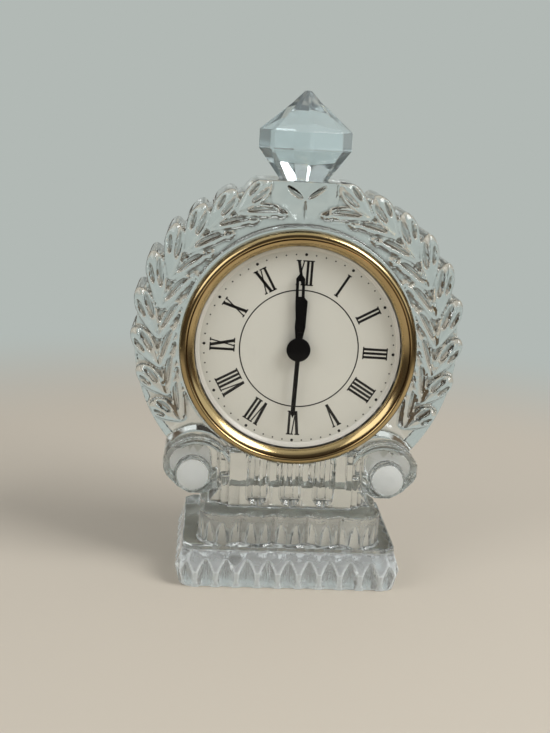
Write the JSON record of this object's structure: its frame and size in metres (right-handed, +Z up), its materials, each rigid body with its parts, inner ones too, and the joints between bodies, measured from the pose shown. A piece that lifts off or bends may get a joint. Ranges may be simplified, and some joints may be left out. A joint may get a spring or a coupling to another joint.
{
  "type": "pedestal clock",
  "caption": "Crystal pedestal clock: a round brass-rimmed quartz clock insert in a laurel-wreath crystal body with scrolls, fluted column, stepped base and faceted finial.",
  "frame": {"origin": "middle of the base's underside, on the surface that the clock stands on", "axes": "+Z up, -Y the way the dial faces, +X to the right of someone who faces the dial"},
  "size_m": [0.113, 0.056, 0.167],
  "materials": {
    "crystal": "fire polished",
    "finial_crystal": "cut and polished",
    "brass": "polished and lacquered",
    "lens": "clear",
    "dial_enamel": "matt cream",
    "hand_black": "satin black",
    "casing": "moulded black",
    "rubber": "matt",
    "plate": "moulded off-white",
    "wheel": "moulded white",
    "steel": "satin",
    "copper_wire": "enamelled copper",
    "board": "green solder mask",
    "resin": "black resin",
    "cell_wrap": "plain wrap"
  },
  "bodies": {
    "stand": {"crystal_body": "crystal", "crystal_finial": "finial_crystal", "bezel": "brass", "lens": "lens", "dial_ring": "dial_enamel", "dial": "dial_enamel", "insert_cup": "casing", "bore_sleeve": "rubber", "front_plate": "plate", "back_plate": "plate", "plate_screw_1": "steel", "plate_screw_2": "steel", "plate_screw_3": "steel", "stator": "steel", "coil_core": "steel", "coil_bobbin": "plate", "coil_winding": "copper_wire", "circuit_board": "board", "chip": "resin", "quartz_can": "steel", "battery_cell": "cell_wrap", "contact_plus": "steel", "contact_minus": "steel"},
    "seconds": {"seconds_wheel": "wheel", "second_hand": "hand_black"},
    "fifth": {"fifth_wheel": "wheel"},
    "rotor": {"rotor": "wheel"},
    "third": {"third_wheel": "wheel"},
    "centre": {"centre_wheel": "wheel"},
    "knob": {"setting_knob": "casing"},
    "motion": {"motion_wheel": "wheel"},
    "minute": {"minute_arbor": "wheel", "minute_hand": "hand_black"},
    "hour": {"hour_wheel": "wheel", "hour_hand": "hand_black"},
    "hatch": {"battery_hatch": "casing"}
  },
  "joints": [
    {"name": "seconds_turn", "type": "hinge", "parent": "stand", "child": "seconds", "pos_m": [0, -0.0055, 0.0823], "axis": [0, 1, 0], "continuous": true},
    {"name": "fifth_turn", "type": "hinge", "parent": "stand", "child": "fifth", "pos_m": [-0.00207, -0.0055, 0.09402], "axis": [0, 1, 0], "continuous": true},
    {"name": "rotor_turn", "type": "hinge", "parent": "stand", "child": "rotor", "pos_m": [0.00594, -0.0055, 0.09864], "axis": [0, 1, 0], "continuous": true},
    {"name": "third_turn", "type": "hinge", "parent": "stand", "child": "third", "pos_m": [-0.012, -0.0055, 0.0823], "axis": [0, 1, 0], "continuous": true},
    {"name": "centre_turn", "type": "hinge", "parent": "stand", "child": "centre", "pos_m": [0, -0.0084, 0.0823], "axis": [0, 1, 0], "continuous": true},
    {"name": "knob_turn", "type": "hinge", "parent": "stand", "child": "knob", "pos_m": [0.01143, 0, 0.0889], "axis": [0, 1, 0], "continuous": true},
    {"name": "motion_turn", "type": "hinge", "parent": "stand", "child": "motion", "pos_m": [0.00554, -0.011, 0.0855], "axis": [0, 1, 0], "continuous": true},
    {"name": "minute_turn", "type": "hinge", "parent": "stand", "child": "minute", "pos_m": [0, -0.012, 0.0823], "axis": [0, 1, 0], "continuous": true},
    {"name": "hour_turn", "type": "hinge", "parent": "stand", "child": "hour", "pos_m": [0, -0.013, 0.0823], "axis": [0, 1, 0], "continuous": true},
    {"name": "hatch_pull", "type": "slide", "parent": "stand", "child": "hatch", "axis": [0, 1, 0], "range_m": [0, 0.012]}
  ],
  "couplings": [
    {"joint": "fifth_turn", "follows": "seconds_turn", "ratio": -6},
    {"joint": "rotor_turn", "follows": "seconds_turn", "ratio": 30},
    {"joint": "third_turn", "follows": "seconds_turn", "ratio": -0.13333},
    {"joint": "centre_turn", "follows": "seconds_turn", "ratio": 0.016667},
    {"joint": "motion_turn", "follows": "minute_turn", "ratio": -0.33333},
    {"joint": "hour_turn", "follows": "minute_turn", "ratio": 0.083333},
    {"joint": "knob_turn", "follows": "minute_turn", "ratio": 0.8}
  ]
}
